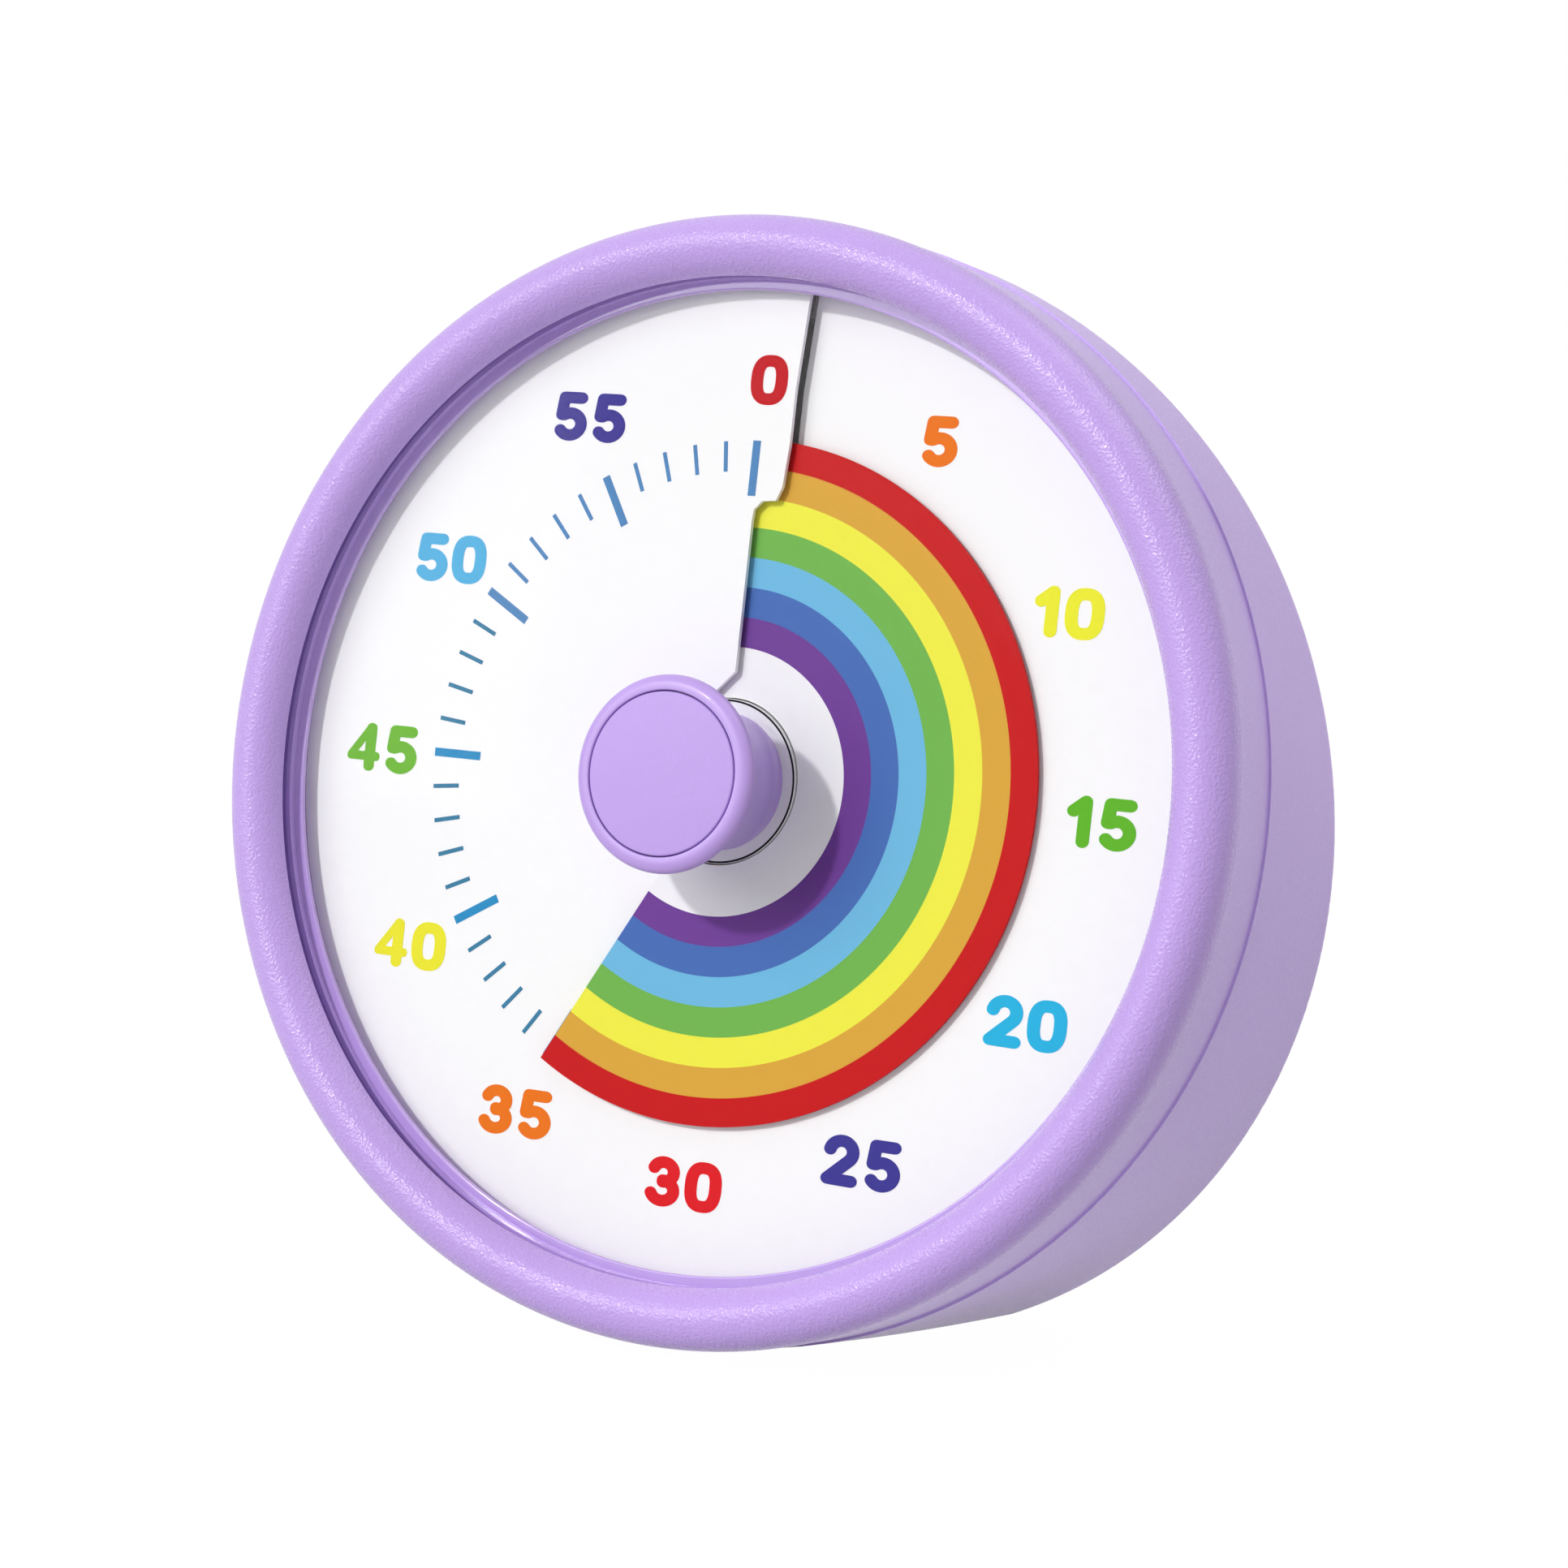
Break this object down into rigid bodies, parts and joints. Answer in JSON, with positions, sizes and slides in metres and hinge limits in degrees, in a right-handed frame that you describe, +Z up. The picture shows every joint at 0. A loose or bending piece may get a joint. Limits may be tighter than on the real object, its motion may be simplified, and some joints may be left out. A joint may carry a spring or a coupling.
{
  "type": "visual countdown timer",
  "caption": "Round wind-up countdown timer with a lavender wedge case, a white minute dial and a rainbow disc that winds through the dial's slit to show the time left.",
  "frame": {"origin": "on the foot's flat face, straight below the point where the winding axis meets the dial", "axes": "+Z up, dial facing -Y and leaning back 8.5 degrees, +X to the reader's right"},
  "size_m": [0.0886, 0.0329, 0.0883],
  "materials": {
    "lavender_case": "glossy lavender moulding with a fine sparkle",
    "lavender_knob": "glossy lavender",
    "clear_plastic": "clear, polished",
    "dial_white": "printed white sheet",
    "rainbow_sheet": "printed sheet, seven colour rings round a white middle",
    "white_hub": "white moulding",
    "grey_moulding": "plain inner moulding",
    "steel": "bright steel",
    "brass": "stamped brass",
    "gong_metal": "nickel plated",
    "magnet": "black ferrite"
  },
  "bodies": {
    "case": {"front_bezel": "lavender_case", "rear_shell": "lavender_case", "case_screws": "steel", "back_magnets": "magnet", "front_lens": "clear_plastic", "trim_ring": "lavender_case", "movement_carrier": "grey_moulding", "dial_plate": "dial_white", "dial_seat": "grey_moulding", "front_plate": "brass", "back_plate": "brass", "plate_pillars": "steel", "carrier_screws": "steel", "plate_screws": "steel", "hairspring": "steel", "mainspring_barrel": "brass", "mainspring": "steel", "gong": "gong_metal", "gong_post": "steel", "gong_screw": "steel", "hammer_stud": "steel"},
    "winder": {"knob": "lavender_knob", "knob_cap": "lavender_knob", "disc_hub": "white_hub", "spindle": "steel", "great_wheel": "brass", "friction_spring": "steel", "spindle_clip": "steel", "alarm_cam": "steel"},
    "disc": {"rainbow_disc": "rainbow_sheet"},
    "second_arbor": {"second_wheel": "brass", "second_pinion": "steel"},
    "third_arbor": {"third_wheel": "brass", "third_pinion": "steel"},
    "escape_arbor": {"escape_wheel": "brass", "escape_pinion": "steel"},
    "lever": {"pallet_lever": "steel"},
    "balance": {"balance_wheel": "brass"},
    "striker": {"hammer": "steel"}
  },
  "joints": [
    {"name": "winding", "type": "hinge", "parent": "case", "child": "winder", "pos_m": [0, 0, 0.0439], "axis": [0, 0.989, -0.1478], "range_deg": [-210, 150]},
    {"name": "disc_screw", "type": "slide", "parent": "winder", "child": "disc", "axis": [0, -0.989, 0.1478], "range_m": [-0.00082, 0.00059]},
    {"name": "second_spin", "type": "hinge", "parent": "case", "child": "second_arbor", "pos_m": [0.0081, 0.00649, 0.03317], "axis": [0, 0.989, -0.1478], "range_deg": [-900, 1260]},
    {"name": "third_spin", "type": "hinge", "parent": "case", "child": "third_arbor", "pos_m": [0.00023, 0.00567, 0.02773], "axis": [0, 0.989, -0.1478], "range_deg": [-6300, 4500]},
    {"name": "escape_spin", "type": "hinge", "parent": "case", "child": "escape_arbor", "pos_m": [-0.00666, 0.00585, 0.02893], "axis": [0, 0.989, -0.1478], "range_deg": [-18000, 25200]},
    {"name": "balance_swing", "type": "hinge", "parent": "case", "child": "balance", "pos_m": [-0.01402, 0.00692, 0.0361], "axis": [0, 0.989, -0.1478], "range_deg": [-100, 100], "stiffness_Nm_per_rad": 0.000002},
    {"name": "pallet_rock", "type": "hinge", "parent": "case", "child": "lever", "pos_m": [-0.00926, 0.00652, 0.03338], "axis": [0, 0.989, -0.1478], "range_deg": [-5, 5]},
    {"name": "hammer_lift", "type": "hinge", "parent": "case", "child": "striker", "pos_m": [-0.0075, 0.01153, 0.03308], "axis": [0, -0.989, 0.1478], "range_deg": [0, 8]}
  ],
  "couplings": [
    {"joint": "disc_screw", "follows": "winding", "m_per_rad": 0.00022282},
    {"joint": "second_spin", "follows": "winding", "ratio": -6},
    {"joint": "third_spin", "follows": "winding", "ratio": 30},
    {"joint": "escape_spin", "follows": "winding", "ratio": -120},
    {"joint": "pallet_rock", "follows": "balance_swing", "ratio": 0.045}
  ]
}
